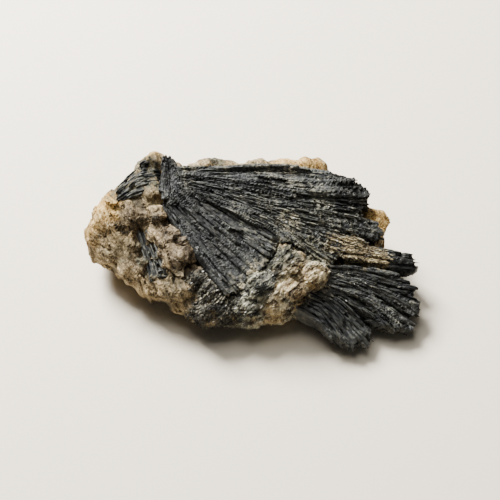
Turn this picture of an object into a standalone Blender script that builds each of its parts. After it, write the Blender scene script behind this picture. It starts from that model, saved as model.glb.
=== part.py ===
"""Black kyanite: fans of dark blades in and on a pale quartz matrix, at real size.

Metres, +Z up. +X runs along the specimen to the blade tips and +Y to its back.
The origin is below the middle of the specimen, on the surface that it rests on.
"""

import math
import random
from collections import namedtuple

import bmesh
import bpy
from mathutils import Matrix, Vector, noise

MM = 0.001

# Driving sizes of the whole specimen.
APEX_HEIGHT = 29.5 * MM  # the fans' upper face at their apex
APEX = (-28.0 * MM, 23.0 * MM)
SLOPE_RIGHT = -0.10  # fall of the upper face along +X
SLOPE_BACK = 0.33  # rise of the upper face along +Y
DOME_HEIGHT = 3.0 * MM
DOME_CENTRE = (8.0 * MM, -2.0 * MM)
DOME_RADIUS = 42.0 * MM

# The blades.
BLADE_DEPTH = 8.0 * MM
TIP_DEPTH = 5.5 * MM
LOWEST_BLADE = (1.5 * MM, 2.4 * MM)  # blades end this far above the surface, each at its own height
UNDERCUT = 0.35  # how far a broken end leans back, as a share of its depth
BLADE_STATIONS = 7  # cross sections along a blade
OVERLAP = 1.35  # a blade's width, as a share of its room in the sheaf
NARROWEST = 1.8 * MM
LATH_SHARE = 0.55  # a shorter lath's width, as a share of a blade's
WIDTH_SPREAD = (0.8, 1.3)
END_STEPS = (-2.2 * MM, 0.3 * MM)
BLADE_TILT = 0.5 * MM
LATH_START = (0.05, 0.45)  # where the shorter laths start and end, as shares of the way along
LATH_END = (0.55, 0.95)
LATH_RISE = 0.9 * MM
LATH_DEPTH = 3.0 * MM
BLADE_ROLL = math.radians(16)
END_SLANT = 0.5
CHAMFER = 0.22  # bevel on a blade's upper edges, as a share of its width
VOLUME_TOLERANCE = 0.02  # error allowed in the volume of solids that are joined or cut, as a share
LEAST_KEPT = 0.4  # no cut takes away more than the rest of a solid
CLEARANCE = 0.35 * MM  # gap between minerals, so that no two solids overlap
CLEARANCE_GRAIN = 0.4 * MM  # voxel of the grown copies that keep this gap

# The quartz.
BED_DEPTH = 5.0 * MM  # how far the quartz lies below the fans' upper face
BLOCK_DEPTH = 1.0 * MM  # the same at the quartz end, which has no fan on it
BASE_BELOW = 2.6 * MM  # the rounded underside reaches this far down, and is then cut flat
GRAIN = 0.85 * MM  # voxel that the quartz lumps are fused at
LUMP_SIZE = 8.0 * MM
LUMP_RISE = 1.9 * MM
CHIP_SIZE = 4.0 * MM
CHIP_RISE = 1.0 * MM
FACET_TILT = 0.8  # how steeply the broken faces lean
FACET_PITCH = 5.3  # spreads the noise, so that neighbouring faces lean different ways

SIDE_FULLNESS = 0.75  # below 1 the quartz is fuller than an ellipsoid, seen from above
UPPER_FULLNESS = 0.5
LOWER_FULLNESS = 0.8
FAN_EDGE = [(-30.5, 24.5), (-29.5, 8.0), (-25.5, 0.0), (-9.0, -20.5)]  # where the fan meets the block, mm
FAN_EDGE_SLOPE = 3.0 * MM  # width over which the quartz steps down to the bed

QUARTZ_FACES = 4600
MAIN_FAN_FACES = 3300
FRONT_FAN_FACES = 1700

# Widest outline of the quartz seen from above, as (x, y, height) in millimetres, anticlockwise.
QUARTZ_OUTLINE = [
    (-54.4, 6.4, 12.5), (-53.4, 1.0, 11.0), (-48.0, -6.2, 10.0), (-40.0, -9.6, 9.5),
    (-33.5, -15.6, 9.5), (-25.5, -19.0, 9.5), (-20.5, -23.2, 9.5), (-10.0, -23.6, 9.0),
    (1.0, -23.6, 9.0), (10.0, -22.4, 9.0), (16.0, -18.5, 8.5), (24.0, -14.0, 8.0),
    (33.0, -9.0, 8.5), (40.0, -2.0, 9.5), (43.2, 8.0, 11.5), (41.6, 13.0, 12.5),
    (37.6, 16.4, 13.5), (32.0, 20.0, 14.5), (27.0, 25.0, 17.0), (21.0, 28.6, 20.0),
    (13.0, 29.0, 20.5), (4.0, 27.0, 20.5), (-6.0, 26.3, 21.5), (-14.0, 25.8, 22.0),
    (-22.0, 25.5, 22.5), (-31.0, 28.4, 23.0), (-38.2, 27.2, 22.5), (-42.2, 20.6, 20.5),
    (-46.6, 15.4, 18.5), (-50.8, 10.6, 15.0),
]
QUARTZ_MIDDLE = (-8.0, 4.0)

# Lumps that stand out of the quartz: centre, radii and turn about Z, in millimetres and degrees.
Lump = namedtuple("Lump", "name centre radii turn")
LUMPS = [
    Lump("back left knob", (-33.6, 23.2, 21.8), (6.0, 4.5, 4.2), 20),
    Lump("warm corner", (-45.0, 12.0, 17.5), (5.2, 4.6, 4.4), 40),
    Lump("end shoulder", (-42.0, 8.0, 20.0), (9.0, 7.5, 5.4), 25),
    Lump("pale panel", (-25.5, -3.5, 17.5), (6.5, 8.5, 5.0), 38),
    Lump("panel foot", (-20.5, -12.0, 13.0), (6.5, 6.0, 4.6), 10),
    Lump("low bulge", (-37.0, -6.0, 12.0), (7.0, 6.5, 5.6), 0),
    Lump("granular lump", (-13.6, -18.9, 9.5), (8.2, 6.5, 5.0), 10),
    Lump("back rim", (-14.0, 25.0, 23.6), (9.0, 2.4, 3.0), 0),
    Lump("back rim knob", (-11.0, 24.6, 22.8), (4.0, 2.4, 2.6), 0),
    Lump("low back rim", (2.0, 25.2, 21.4), (9.0, 2.4, 3.0), 4),
    Lump("pale back lump", (15.0, 26.4, 20.9), (10.5, 3.6, 3.4), 3),
    Lump("pale back shoulder", (21.4, 24.2, 19.6), (5.0, 4.6, 4.0), -30),
    Lump("right end", (39.5, 9.5, 12.6), (4.4, 6.0, 3.6), 0),
]
# The ridge of mica and feldspar that laps over the fans.
RIDGE = [
    Lump("ridge foot", (-1.0, -19.6, 10.0), (6.4, 5.4, 5.0), 0),
    Lump("ridge toe", (7.0, -19.4, 10.0), (7.6, 4.8, 5.0), 0),
    Lump("ridge pale band", (4.0, -15.5, 13.6), (7.0, 4.6, 4.4), 35),
    Lump("ridge warm band", (12.5, -16.2, 13.0), (7.2, 5.0, 4.6), 34),
    Lump("ridge crest", (18.6, -12.4, 14.8), (6.0, 4.4, 3.8), 42),
    Lump("ridge saddle", (11.5, -9.0, 17.0), (7.0, 5.0, 3.8), 48),
]
RIDGE_FLOOR = 2.0 * MM  # the ridge is rooted in the quartz down to this height

# A sheaf's blades pass through its gates: lines across them, seen from above in millimetres.
Sheaf = namedtuple("Sheaf", "name gates count laths lift scatter")
MAIN_SHEAVES = [
    Sheaf("back blades", [
        [(-27.5, 21.4), (-23.5, 16.8)],
        [(-12.2, 20.8), (-12.2, 15.8)],
        [(0.8, 21.9), (1.8, 13.4)],
        [(15.6, 22.6), (16.8, 11.4)],
        [(26.6, 21.4), (32.4, 20.8), (37.2, 18.4), (39.0, 14.6), (37.6, 10.6)],
    ], 11, 6, 0.3, 0.7),
    Sheaf("middle blades", [
        [(-23.5, 16.6), (-23.5, 13.6)],
        [(-12.2, 15.6), (-12.1, 8.6)],
        [(-1.8, 13.8), (-1.8, 3.4)],
        [(7.8, 12.2), (6.3, -0.6)],
        [(34.5, 10.6), (37.2, 9.0), (37.8, 6.2), (43.6, 5.4), (42.8, 2.6), (38.4, -0.2), (32.0, -4.7),
         (24.0, -9.2), (15.2, -9.4), (10.4, -6.2)],
    ], 17, 8, 0.0, 0.8),
    Sheaf("front blades", [
        [(-23.0, 14.6), (-29.0, 8.6)],
        [(-12.2, 8.6), (-21.4, -3.0)],
        [(-4.0, 4.0), (-14.4, -11.2)],
        [(7.5, -3.0), (7.0, -8.5), (3.0, -12.8), (-2.0, -16.8), (-7.4, -20.4)],
    ], 10, 5, -0.2, 0.9),
    Sheaf("apex spray", [
        [(-28.8, 24.0), (-26.4, 23.4)],
        [(-29.6, 17.8), (-23.0, 17.4)],
        [(-30.6, 10.6), (-26.0, 7.3), (-21.4, 6.3), (-16.4, 5.6)],
    ], 9, 0, 1.2, 0.5),
    Sheaf("prongs", [
        [(30.0, -0.6), (30.0, -6.0)],
        [(45.0, -1.4), (44.6, -7.0)],
        [(54.6, -2.4), (54.4, -4.4), (53.4, -7.4)],
    ], 3, 1, -0.4, 0.5),
]
FRONT_SHEAVES = [
    Sheaf("right lobe", [
        [(22.5, -9.0), (19.0, -15.5)],
        [(34.0, -8.2), (29.2, -19.0)],
        [(43.0, -8.8), (37.0, -23.2)],
        [(46.6, -9.2), (53.4, -12.6), (54.4, -18.2), (53.8, -23.6), (53.2, -27.4), (45.6, -27.0), (40.6, -25.2)],
    ], 15, 6, -0.5, 0.8),
    Sheaf("left lobe", [
        [(20.0, -15.0), (11.5, -20.5)],
        [(28.2, -19.4), (20.6, -25.8)],
        [(38.2, -27.0), (36.6, -31.4), (33.4, -34.0), (29.4, -33.2), (25.0, -30.0)],
    ], 12, 5, -1.0, 0.7),
]

MINERALS = {
    "quartz": {"colour": (0.34, 0.26, 0.17), "roughness": 0.6},
    "kyanite": {"colour": (0.045, 0.048, 0.046), "roughness": 0.42},
}


def clear_scene():
    for obj in list(bpy.data.objects):
        bpy.data.objects.remove(obj, do_unlink=True)


def mineral(name):
    """A material with the mineral's colour and gloss."""
    material = bpy.data.materials.new(name)
    material.use_nodes = True
    shader = material.node_tree.nodes["Principled BSDF"]
    shader.inputs["Base Color"].default_value = (*MINERALS[name]["colour"], 1.0)
    shader.inputs["Roughness"].default_value = MINERALS[name]["roughness"]
    shader.inputs["Metallic"].default_value = 0.0
    return material


def fan_surface(x, y):
    """Height of the fans' shared upper face: a slope that dips to the front, with a low dome."""
    out = math.hypot(x - DOME_CENTRE[0], y - DOME_CENTRE[1]) / DOME_RADIUS
    dome = DOME_HEIGHT * max(0.0, 1.0 - out * out)
    return APEX_HEIGHT + SLOPE_RIGHT * (x - APEX[0]) + SLOPE_BACK * (y - APEX[1]) + dome


def along(points, share):
    """The point at this share of a polyline's length."""
    points = [Vector(p) for p in points]
    steps = [(b - a).length for a, b in zip(points, points[1:])]
    left = share * sum(steps)
    for a, b, step in zip(points, points[1:], steps):
        if left <= step:
            return a.lerp(b, left / step)
        left -= step
    return points[-1]


def new_object(name, mesh_data, collection):
    obj = bpy.data.objects.new(name, mesh_data)
    collection.objects.link(obj)
    return obj


def shells(mesh_edit):
    """The vertices of each connected shell of a mesh."""
    unseen = set(mesh_edit.verts)
    found = []
    while unseen:
        shell, front = set(), [unseen.pop()]
        while front:
            vert = front.pop()
            shell.add(vert)
            beside = {edge.other_vert(vert) for edge in vert.link_edges} & unseen
            unseen -= beside
            front.extend(beside)
        found.append(shell)
    return found


def settle(obj):
    """Applies the object's modifiers and keeps its largest closed shell, as triangles."""
    graph = bpy.context.evaluated_depsgraph_get()
    graph.update()
    made = bpy.data.meshes.new_from_object(obj.evaluated_get(graph))
    obj.modifiers.clear()
    obj.data = made
    edit = bmesh.new()
    edit.from_mesh(made)
    largest = max(shells(edit), key=len, default=set())
    bmesh.ops.delete(edit, geom=[v for v in edit.verts if v not in largest], context="VERTS")
    bmesh.ops.triangulate(edit, faces=edit.faces)
    edit.to_mesh(made)
    edit.free()
    return obj


def fuse(obj, voxel):
    """Joins the overlapping shapes of one mesh into one skin."""
    remesh = obj.modifiers.new("fuse", "REMESH")
    remesh.mode = "VOXEL"
    remesh.voxel_size = voxel
    return settle(obj)


def simplify(obj, faces):
    """Leaves about this many triangles, which keeps flat faces flat."""
    decimate = obj.modifiers.new("simplify", "DECIMATE")
    decimate.ratio = min(1.0, faces / len(obj.data.polygons))
    return settle(obj)


def volume(mesh):
    """The volume that a mesh encloses."""
    edit = bmesh.new()
    edit.from_mesh(mesh)
    inside = edit.calc_volume()
    edit.free()
    return inside


def combine(obj, other, operation):
    """Joins one closed solid with another, or cuts it.

    The exact solver loses most of the solid in a few of these cuts and joins. The volume shows it, and
    the manifold solver then does that one.
    """
    before = obj.data
    own, added = volume(before), volume(other.data)
    least, most = max(own, added), own + added
    if operation == "DIFFERENCE":
        least, most = max(own - added, LEAST_KEPT * own), own
    for solver in ("EXACT", "MANIFOLD"):
        boolean = obj.modifiers.new(operation.lower(), "BOOLEAN")
        boolean.solver = solver
        boolean.operation = operation
        boolean.object = other
        settle(obj)
        if least * (1.0 - VOLUME_TOLERANCE) <= volume(obj.data) <= most * (1.0 + VOLUME_TOLERANCE):
            return obj
        obj.data = before
    raise RuntimeError(f"no solver could make this {operation.lower()} of {obj.name}")


def grown_copy(obj, cutters):
    """A cutter that is larger than the solid by the clearance all round."""
    cutter = new_object(obj.name + "_clearance", obj.data.copy(), cutters)
    fuse(cutter, CLEARANCE_GRAIN)
    grow = cutter.modifiers.new("grow", "DISPLACE")
    grow.mid_level = 0.0
    grow.strength = CLEARANCE + 1.3 * CLEARANCE_GRAIN
    settle(cutter)
    cutter.hide_render = True
    cutter.display_type = "WIRE"
    return cutter


def outline_at(turn):
    """The quartz outline's distance from its middle, and its height, in this direction."""
    spokes = []
    for x, y, height in QUARTZ_OUTLINE:
        dx, dy = x - QUARTZ_MIDDLE[0], y - QUARTZ_MIDDLE[1]
        spokes.append((math.atan2(dy, dx) % math.tau, math.hypot(dx, dy) * MM, height * MM))
    spokes.sort()
    turn %= math.tau
    before = max((s for s in spokes if s[0] <= turn), default=spokes[-1])
    after = min((s for s in spokes if s[0] > turn), default=spokes[0])
    span = (after[0] - before[0]) % math.tau
    share = ((turn - before[0]) % math.tau) / span
    radius = before[1] + share * (after[1] - before[1])
    height = before[2] + share * (after[2] - before[2])
    return radius, height


def beyond_fan_edge(x, y):
    """How far a point lies to the left of the line where the fan meets the quartz block."""
    point = Vector((x, y))
    best, signed = math.inf, 0.0
    for a, b in zip(FAN_EDGE, FAN_EDGE[1:]):
        a, b = Vector(a) * MM, Vector(b) * MM
        run = b - a
        share = min(1.0, max(0.0, (point - a).dot(run) / run.length_squared))
        off = point - (a + share * run)
        if off.length < best:
            best = off.length
            signed = math.copysign(best, run.y * off.x - run.x * off.y)
    return signed


def quartz_top(x, y):
    """Height of the quartz: a bed below the fans that steps up to the block at the left end."""
    step = min(1.0, max(0.0, 0.5 + beyond_fan_edge(x, y) / FAN_EDGE_SLOPE))
    return fan_surface(x, y) - BED_DEPTH + step * (BED_DEPTH - BLOCK_DEPTH)


def add_quartz_slab(edit):
    """A rounded slab with the specimen's outline, its upper face shaped by quartz_top."""
    for vert in bmesh.ops.create_icosphere(edit, subdivisions=5, radius=1.0)["verts"]:
        turn = math.atan2(vert.co.y, vert.co.x)
        radius, edge_height = outline_at(turn)
        reach = radius * math.hypot(vert.co.x, vert.co.y) ** SIDE_FULLNESS
        x = QUARTZ_MIDDLE[0] * MM + reach * math.cos(turn)
        y = QUARTZ_MIDDLE[1] * MM + reach * math.sin(turn)
        if vert.co.z >= 0:
            z = edge_height + (quartz_top(x, y) - edge_height) * vert.co.z**UPPER_FULLNESS
        else:
            z = edge_height - (edge_height + BASE_BELOW) * (-vert.co.z) ** LOWER_FULLNESS
        vert.co = (x, y, z)


def add_lump(edit, lump, floor=None):
    """A rounded lump. Where a floor is given, its lower half is drawn down to that height."""
    turn = Matrix.Rotation(math.radians(lump.turn), 3, "Z")
    centre = Vector(lump.centre) * MM
    for vert in bmesh.ops.create_icosphere(edit, subdivisions=3, radius=1.0)["verts"]:
        shaped = Vector(co * r * MM for co, r in zip(vert.co, lump.radii))
        if floor is not None and vert.co.z < 0:
            shaped.z = vert.co.z * (centre.z - floor)
        vert.co = centre + turn @ shaped


def roughen(obj, size, rise):
    """Breaks the skin into facets of this size, each one tilted and stepped by its own amount."""
    mesh = obj.data
    normals = [vert.normal.copy() for vert in mesh.vertices]
    for vert, normal in zip(mesh.vertices, normals):
        place = vert.co / size
        seed = noise.voronoi(place)[1][0]
        tilt = 2.0 * noise.cell_vector(seed * FACET_PITCH) - Vector((1, 1, 1))
        step = noise.noise(seed * FACET_PITCH)
        vert.co += normal * rise * (FACET_TILT * tilt.dot(place - seed) + step)


def rock(name, fill, collection):
    """A rough solid of quartz from the shapes that fill adds."""
    edit = bmesh.new()
    fill(edit)
    made = bpy.data.meshes.new(name)
    edit.to_mesh(made)
    edit.free()
    obj = fuse(new_object(name, made, collection), GRAIN)
    roughen(obj, LUMP_SIZE, LUMP_RISE)
    roughen(obj, CHIP_SIZE, CHIP_RISE)
    return fuse(obj, GRAIN)


def through_gates(gates, share, place):
    """The point of a smooth line through the gates, each crossed at this share of its length."""
    points = [along(gate, share) for gate in gates]
    points = [2 * points[0] - points[1]] + points + [2 * points[-1] - points[-2]]
    i = min(int(place * (len(gates) - 1)), len(gates) - 2)
    t = place * (len(gates) - 1) - i
    a, b, c, d = points[i:i + 4]
    return 0.5 * (2 * b + (c - a) * t + (2 * a - 5 * b + 4 * c - d) * t**2 + (3 * b - 3 * c + d - a) * t**3)


def blade(path, widths, depths, roll, slant, lowest):
    """A lath with chamfered upper edges, whose upper face follows the path to a broken far end."""
    edit = bmesh.new()
    rings = []
    for i, place in enumerate(path):
        width, depth = widths[i], depths[i]
        ahead = (path[min(i + 1, len(path) - 1)] - path[max(i - 1, 0)]).normalized()
        side = Matrix.Rotation(roll, 3, ahead) @ ahead.cross(Vector((0, 0, 1))).normalized()
        down = ahead.cross(side).normalized()
        if down.z > 0:
            down = -down
        bevel = CHAMFER * width
        half = 0.5 * width
        ring = []
        for across, below in ((-half, depth), (-half, bevel), (bevel - half, 0.0),
                              (half - bevel, 0.0), (half, bevel), (half, depth)):
            spot = place + side * across + down * below
            if i == len(path) - 1:
                spot += ahead * (slant * across - UNDERCUT * below)
            spot.z = max(spot.z, lowest)
            ring.append(edit.verts.new(spot))
        rings.append(ring)
    for near, far in zip(rings, rings[1:]):
        for j in range(len(near)):
            edit.faces.new((near[j - 1], near[j], far[j], far[j - 1]))
    edit.faces.new(rings[0])
    edit.faces.new(rings[-1])
    bmesh.ops.recalc_face_normals(edit, faces=edit.faces)
    made = bpy.data.meshes.new("blade")
    edit.to_mesh(made)
    edit.free()
    return made


def sheaf_blades(sheaf, rng):
    """The blades of one sheaf, side by side, then shorter laths that lie broken off on top of them."""
    for i in range(sheaf.count + sheaf.laths):
        on_top = i >= sheaf.count
        share = rng.random() if on_top else (i + 0.5) / sheaf.count
        near, far = (rng.uniform(*LATH_START), rng.uniform(*LATH_END)) if on_top else (0.0, 1.0)
        longer = rng.uniform(*END_STEPS)
        lift = sheaf.lift * MM + (LATH_RISE if on_top else rng.uniform(-1.0, 1.0) * sheaf.scatter * MM)
        tilt = rng.uniform(-1.0, 1.0) * BLADE_TILT
        spread = rng.uniform(*WIDTH_SPREAD) * (LATH_SHARE if on_top else 1.0)
        path, widths, depths = [], [], []
        for step in range(BLADE_STATIONS):
            run = step / (BLADE_STATIONS - 1)
            place = near + run * (far - near)
            spot = through_gates(sheaf.gates, share, place) * MM
            room = (through_gates(sheaf.gates, 1.0, place) - through_gates(sheaf.gates, 0.0, place)).length
            if step == BLADE_STATIONS - 1:
                spot += (spot - Vector(path[-1][:2])).normalized() * longer
            path.append(Vector((*spot, fan_surface(*spot) + lift + run * tilt)))
            widths.append(max(NARROWEST, OVERLAP * room * MM / sheaf.count) * spread)
            depths.append(LATH_DEPTH if on_top else BLADE_DEPTH + run * (TIP_DEPTH - BLADE_DEPTH))
        roll, slant = rng.uniform(-1.0, 1.0) * BLADE_ROLL, rng.uniform(-1.0, 1.0) * END_SLANT
        yield blade(path, widths, depths, roll, slant, rng.uniform(*LOWEST_BLADE))


def fan(name, sheaves, seed, collection, cutters):
    """Blades grown together: each one is joined to those before it."""
    rng = random.Random(seed)
    meshes = [made for sheaf in sheaves for made in sheaf_blades(sheaf, rng)]
    obj = new_object(name, meshes[0], collection)
    for i, made in enumerate(meshes[1:]):
        other = new_object(f"{name}_blade_{i}", made, cutters)
        combine(obj, other, "UNION")
        bpy.data.objects.remove(other, do_unlink=True)
    return obj


def cut_flat(obj):
    """Cuts the underside off flat at the origin, where the specimen rests."""
    edit = bmesh.new()
    edit.from_mesh(obj.data)
    geom = edit.verts[:] + edit.edges[:] + edit.faces[:]
    bmesh.ops.bisect_plane(edit, geom=geom, plane_co=(0, 0, 0), plane_no=(0, 0, 1), clear_inner=True)
    open_edges = [edge for edge in edit.edges if edge.is_boundary]
    bmesh.ops.holes_fill(edit, edges=open_edges)
    edit.to_mesh(obj.data)
    edit.free()
    return settle(obj)


def centre(objects):
    """Moves the pieces together, so that the origin lies below the middle of their box."""
    places = [vert.co for obj in objects for vert in obj.data.vertices]
    middle = [0.5 * (min(p[i] for p in places) + max(p[i] for p in places)) for i in (0, 1)]
    for obj in objects:
        obj.data.transform(Matrix.Translation((-middle[0], -middle[1], 0.0)))


def add_slab_and_lumps(edit):
    add_quartz_slab(edit)
    for lump in LUMPS:
        add_lump(edit, lump)


def add_ridge(edit):
    for lump in RIDGE:
        add_lump(edit, lump, RIDGE_FLOOR)


def build():
    clear_scene()
    parts = bpy.data.collections.new("black_kyanite")
    cutters = bpy.data.collections.new("cutters")
    for collection in (parts, cutters):
        bpy.context.scene.collection.children.link(collection)

    quartz = rock("quartz_matrix", add_slab_and_lumps, parts)
    ridge = rock("ridge", add_ridge, cutters)
    ridge.hide_render = True
    ridge.display_type = "WIRE"
    main_fan = fan("main_fan", MAIN_SHEAVES, 3, parts, cutters)
    front_fan = fan("front_fan", FRONT_SHEAVES, 6, parts, cutters)

    ridge_room = grown_copy(ridge, cutters)
    combine(main_fan, ridge_room, "DIFFERENCE")
    simplify(main_fan, MAIN_FAN_FACES)
    main_room = grown_copy(main_fan, cutters)
    combine(front_fan, ridge_room, "DIFFERENCE")
    combine(front_fan, main_room, "DIFFERENCE")
    simplify(front_fan, FRONT_FAN_FACES)
    front_room = grown_copy(front_fan, cutters)
    combine(quartz, main_room, "DIFFERENCE")
    combine(quartz, front_room, "DIFFERENCE")
    combine(quartz, ridge, "UNION")
    simplify(quartz, QUARTZ_FACES)
    cut_flat(quartz)
    centre((quartz, main_fan, front_fan))

    quartz.data.materials.append(mineral("quartz"))
    for obj in (main_fan, front_fan):
        obj.data.materials.append(mineral("kyanite"))
    for obj in (quartz, main_fan, front_fan):
        print(obj.name, len(obj.data.polygons), "triangles")


build()
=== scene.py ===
# %% [markdown]
# # Black kyanite on quartz
#
# A loose hand specimen: fans of black blades that have grown in and on a lump of broken, iron-stained
# quartz. A ridge of mica and feldspar grains laps over the fans at the front.
#
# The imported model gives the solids. They have the right forms and sizes, but broad, clean faces. This
# script gives each mineral the surface that it has close up: ribbed and splintered blades, broken
# quartz, and grains. It starts by loading the solids as a fixed frame.

# %% Load the frame
import math
import random

import bmesh
import bpy
import numpy as np
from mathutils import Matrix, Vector
from mathutils.bvhtree import BVHTree
from mathutils.kdtree import KDTree


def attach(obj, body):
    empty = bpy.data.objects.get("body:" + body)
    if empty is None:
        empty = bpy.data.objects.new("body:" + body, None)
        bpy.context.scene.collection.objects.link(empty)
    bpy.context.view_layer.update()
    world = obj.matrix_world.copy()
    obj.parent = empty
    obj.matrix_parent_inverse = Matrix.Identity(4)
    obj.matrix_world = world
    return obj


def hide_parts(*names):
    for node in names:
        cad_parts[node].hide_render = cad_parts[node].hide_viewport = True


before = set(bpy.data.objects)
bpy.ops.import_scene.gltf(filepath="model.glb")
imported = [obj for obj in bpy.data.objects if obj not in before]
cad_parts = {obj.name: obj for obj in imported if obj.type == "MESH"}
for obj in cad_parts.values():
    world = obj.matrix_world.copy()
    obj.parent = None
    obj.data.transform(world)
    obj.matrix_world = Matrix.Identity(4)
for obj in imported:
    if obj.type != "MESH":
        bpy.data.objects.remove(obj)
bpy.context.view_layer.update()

MM = 0.001

# %% [markdown]
# ## The plan of the blades
#
# Kyanite fans grow outwards from a point or a short line, and their blades bend a little. Each sheaf
# of blades is set out by its gates, which are lines across it seen from above, and a blade crosses all
# of them at about the same share of their length. The solids were set out in the same way. Here the
# plan says which way the grain runs at any point of a fan, which is what ribs, splinters and streaks
# have to follow. Numbers typed in for each splinter would be the other way, but a rule keeps thousands
# of them parallel to their neighbours.

# %% The sheaves and the fans' upper face
PLAN_SHIFT = np.array((0.26, 1.29)) * MM  # from the plan's origin to the middle of the model
APEX = (-28.0, 23.0, 29.5)
SLOPE = (-0.10, 0.33)
DOME = (8.0, -2.0, 42.0, 3.0)  # centre, radius and height of the low dome on the slope

MAIN_SHEAVES = {
    "back blades": [
        [(-27.5, 21.4), (-23.5, 16.8)],
        [(-12.2, 20.8), (-12.2, 15.8)],
        [(0.8, 21.9), (1.8, 13.4)],
        [(15.6, 22.6), (16.8, 11.4)],
        [(26.6, 21.4), (32.4, 20.8), (37.2, 18.4), (39.0, 14.6), (37.6, 10.6)],
    ],
    "middle blades": [
        [(-23.5, 16.6), (-23.5, 13.6)],
        [(-12.2, 15.6), (-12.1, 8.6)],
        [(-1.8, 13.8), (-1.8, 3.4)],
        [(7.8, 12.2), (6.3, -0.6)],
        [(34.5, 10.6), (37.2, 9.0), (37.8, 6.2), (43.6, 5.4), (42.8, 2.6), (38.4, -0.2), (32.0, -4.7),
         (24.0, -9.2), (15.2, -9.4), (10.4, -6.2)],
    ],
    "front blades": [
        [(-23.0, 14.6), (-29.0, 8.6)],
        [(-12.2, 8.6), (-21.4, -3.0)],
        [(-4.0, 4.0), (-14.4, -11.2)],
        [(7.5, -3.0), (7.0, -8.5), (3.0, -12.8), (-2.0, -16.8), (-7.4, -20.4)],
    ],
    "apex spray": [
        [(-28.8, 24.0), (-26.4, 23.4)],
        [(-29.6, 17.8), (-23.0, 17.4)],
        [(-30.6, 10.6), (-26.0, 7.3), (-21.4, 6.3), (-16.4, 5.6)],
    ],
    "prongs": [
        [(30.0, -0.6), (30.0, -6.0)],
        [(45.0, -1.4), (44.6, -7.0)],
        [(54.6, -2.4), (54.4, -4.4), (53.4, -7.4)],
    ],
}
FRONT_SHEAVES = {
    "right lobe": [
        [(22.5, -9.0), (19.0, -15.5)],
        [(34.0, -8.2), (29.2, -19.0)],
        [(43.0, -8.8), (37.0, -23.2)],
        [(46.6, -9.2), (53.4, -12.6), (54.4, -18.2), (53.8, -23.6), (53.2, -27.4), (45.6, -27.0),
         (40.6, -25.2)],
    ],
    "left lobe": [
        [(20.0, -15.0), (11.5, -20.5)],
        [(28.2, -19.4), (20.6, -25.8)],
        [(38.2, -27.0), (36.6, -31.4), (33.4, -34.0), (29.4, -33.2), (25.0, -30.0)],
    ],
}
BRIDGE_SHEAVES = {
    "bridge": [
        [(-22.0, 15.2), (-24.4, 12.8)],
        [(-11.6, 10.6), (-14.4, 6.4)],
        [(-1.8, 6.0), (-6.0, 0.6)],
        [(9.6, 1.4), (6.0, -6.5)],
    ],
}
QUARTZ_SHEAVES = {
    "upper left blades": [
        [(-29.6, 25.6), (-31.4, 14.0)],
        [(-36.6, 24.4), (-39.0, 12.0)],
        [(-44.0, 17.6), (-45.0, 7.6)],
    ],
    "pocket spray": [
        [(-37.6, 1.6), (-34.0, 3.0)],
        [(-35.0, -6.0), (-30.6, -4.6)],
        [(-33.0, -15.0), (-26.6, -12.6)],
    ],
    "flank streaks": [
        [(-31.0, -10.5), (-29.0, -14.0)],
        [(-22.0, -8.5), (-20.5, -14.5)],
        [(-14.0, -8.0), (-12.0, -15.0)],
    ],
}
PATH_STEPS = 48  # stations that a path is followed with
PLAN_LINES = 90  # paths that the grain of one sheaf is read from
SHEAF_SHIFTS = (0.09, 0.13)  # along and across in metres, so that no two sheaves share a pattern


def fan_face(places):
    """Height of the fans' upper face, for plan places in metres."""
    x, y = places[:, 0] / MM, places[:, 1] / MM
    out = np.hypot(x - DOME[0], y - DOME[1]) / DOME[2]
    dome = DOME[3] * np.maximum(0.0, 1.0 - out * out)
    return (APEX[2] + SLOPE[0] * (x - APEX[0]) + SLOPE[1] * (y - APEX[1]) + dome) * MM


def crossing(gate, share):
    """Where a gate is crossed, at this share of its length."""
    gate = np.array(gate) * MM
    run = np.concatenate([[0.0], np.cumsum(np.hypot(*np.diff(gate, axis=0).T))])
    return np.array([np.interp(share * run[-1], run, gate[:, i]) for i in (0, 1)])


def path(gates, share, places):
    """A smooth line through the gates, at these places from 0 at the first gate to 1 at the last."""
    points = [crossing(gate, part) for gate, part in zip(gates, np.broadcast_to(share, len(gates)))]
    points = np.array([2 * points[0] - points[1], *points, 2 * points[-1] - points[-2]])
    spans = len(gates) - 1
    i = np.minimum((places * spans).astype(int), spans - 1)
    t = (places * spans - i)[:, None]
    a, b, c, d = (points[i + k] for k in range(4))
    return 0.5 * (2 * b + (c - a) * t + (2 * a - 5 * b + 4 * c - d) * t**2 + (3 * b - 3 * c + d - a) * t**3)


def width_of(gates):
    """The width of a sheaf at its last gate."""
    return np.hypot(*np.diff(np.array(gates[-1]) * MM, axis=0).T).sum()


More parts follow.
